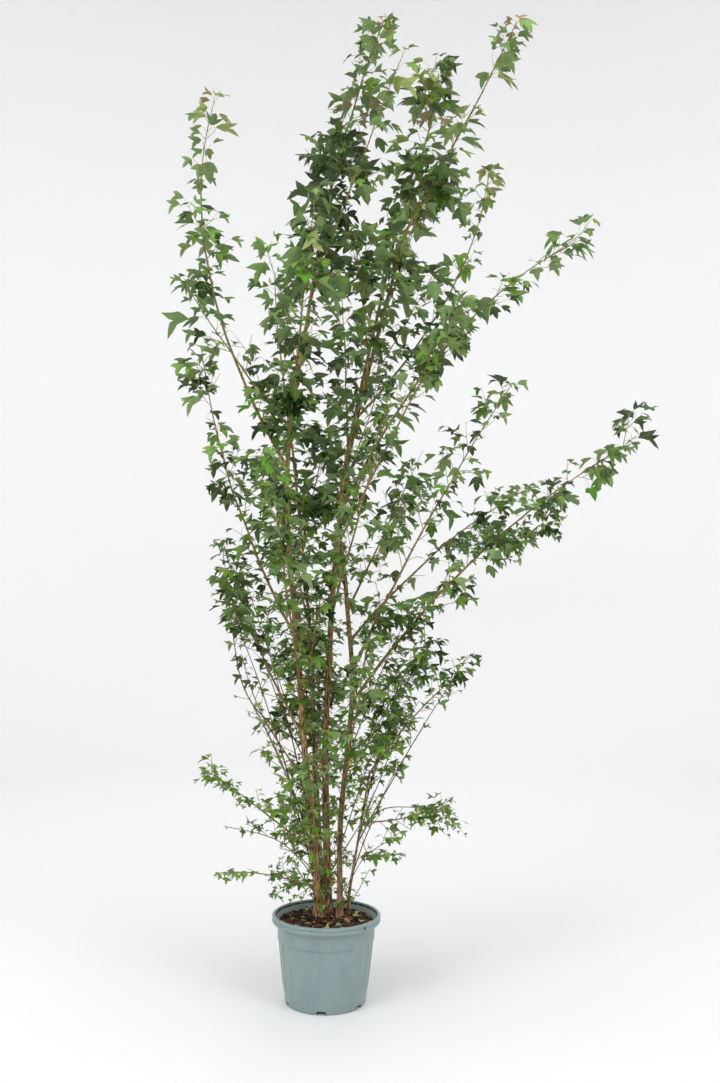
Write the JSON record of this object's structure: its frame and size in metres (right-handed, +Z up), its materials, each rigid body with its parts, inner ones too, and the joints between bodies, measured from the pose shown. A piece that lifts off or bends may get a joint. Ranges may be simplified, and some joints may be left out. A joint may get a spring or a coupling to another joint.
{
  "type": "potted trident maple",
  "caption": "Tall, slim, many-stemmed maple shrub in a round nursery pot, with rising boughs and small three-lobed green leaves.",
  "frame": {"origin": "centre of the pot's flat underside", "axes": "+Z up along the stems, -Y towards the front that the picture shows, +X to the right of it"},
  "size_m": [1.9751, 1.3735, 4.001],
  "materials": {
    "bark": "rough orange-brown bark, finely split lengthwise",
    "foliage": "satin green leaves with paler undersides",
    "pot_plastic": "satin grey-green moulded plastic",
    "potting_mix": "matt dark bark mulch"
  },
  "bodies": {
    "root": {"bough_back_high": "bark", "bough_back_left": "bark", "bough_back_low": "bark", "bough_back_right": "bark", "bough_far_right": "bark", "bough_front_high": "bark", "bough_front_left": "bark", "bough_front_low": "bark", "bough_front_right": "bark", "bough_left_fan": "bark", "bough_left_leader": "bark", "bough_left_low": "bark", "bough_left_outer": "bark", "bough_left_side": "bark", "bough_right_back": "bark", "bough_right_front": "bark", "bough_right_high": "bark", "bough_right_side": "bark", "bough_right_upper": "bark", "foliage_back_high": "foliage", "foliage_back_left": "foliage", "foliage_back_low": "foliage", "foliage_back_right": "foliage", "foliage_centre_back": "foliage", "foliage_centre_high": "foliage", "foliage_centre_low": "foliage", "foliage_centre_middle": "foliage", "foliage_far_right": "foliage", "foliage_foot_back": "foliage", "foliage_foot_front": "foliage", "foliage_front_high": "foliage", "foliage_front_left": "foliage", "foliage_front_low": "foliage", "foliage_front_right": "foliage", "foliage_left_brush": "foliage", "foliage_left_fan": "foliage", "foliage_left_foot": "foliage", "foliage_left_leader": "foliage", "foliage_left_low": "foliage", "foliage_left_outer": "foliage", "foliage_left_side": "foliage", "foliage_right_back": "foliage", "foliage_right_foot": "foliage", "foliage_right_front": "foliage", "foliage_right_high": "foliage", "foliage_right_low": "foliage", "foliage_right_side": "foliage", "foliage_right_upper": "foliage", "foliage_top_back": "foliage", "foliage_top_front": "foliage", "foliage_top_left": "foliage", "foliage_top_middle": "foliage", "foliage_top_right": "foliage", "pot": "pot_plastic", "potting_mix": "potting_mix", "stem_back": "bark", "stem_left": "bark", "stem_middle": "bark", "stem_right": "bark", "stem_thin": "bark"}
  },
  "joints": []
}
